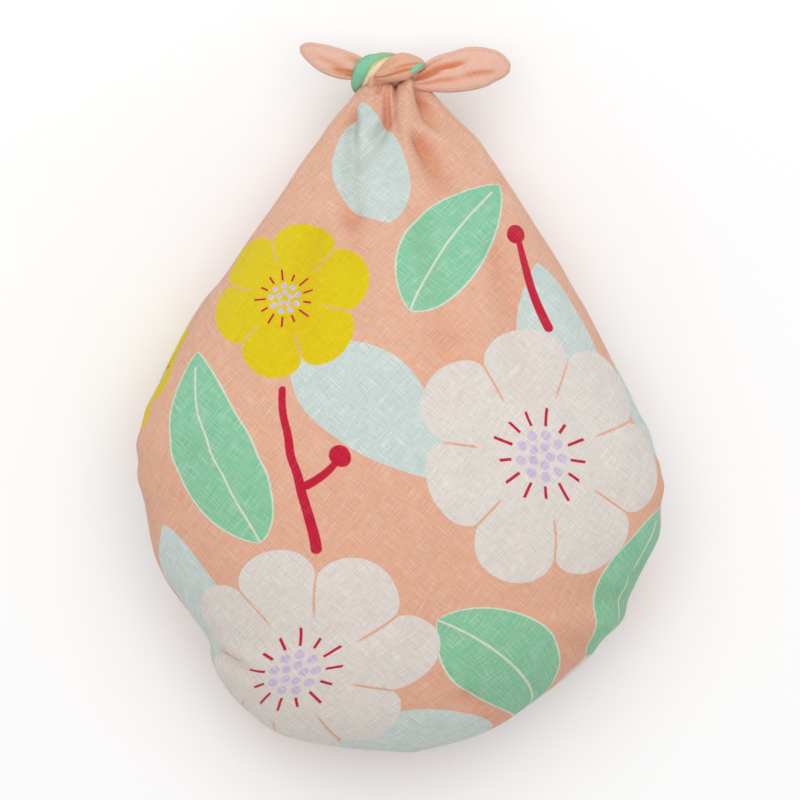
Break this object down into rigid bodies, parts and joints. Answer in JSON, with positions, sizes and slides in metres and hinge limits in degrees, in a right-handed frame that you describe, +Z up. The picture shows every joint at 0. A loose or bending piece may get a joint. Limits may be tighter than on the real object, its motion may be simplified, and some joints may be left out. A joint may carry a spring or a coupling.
{
  "type": "furoshiki wrap",
  "caption": "Square cloth tied as a plump drop-shaped bag with a square knot and ear ends at the top and an open mouth along each straight upper side.",
  "frame": {"origin": "centre of the bag's outline on the surface that its back rests on", "axes": "+Y along the bag from its rounded foot to its knot, +Z up out of the printed front, +X to the right as the front is seen with the knot at the top"},
  "size_m": [0.3087, 0.4174, 0.1403],
  "materials": {
    "cloth": "matt slub cotton, printed on one side"
  },
  "bodies": {
    "root": {"wrap_cloth": "cloth"}
  },
  "joints": []
}
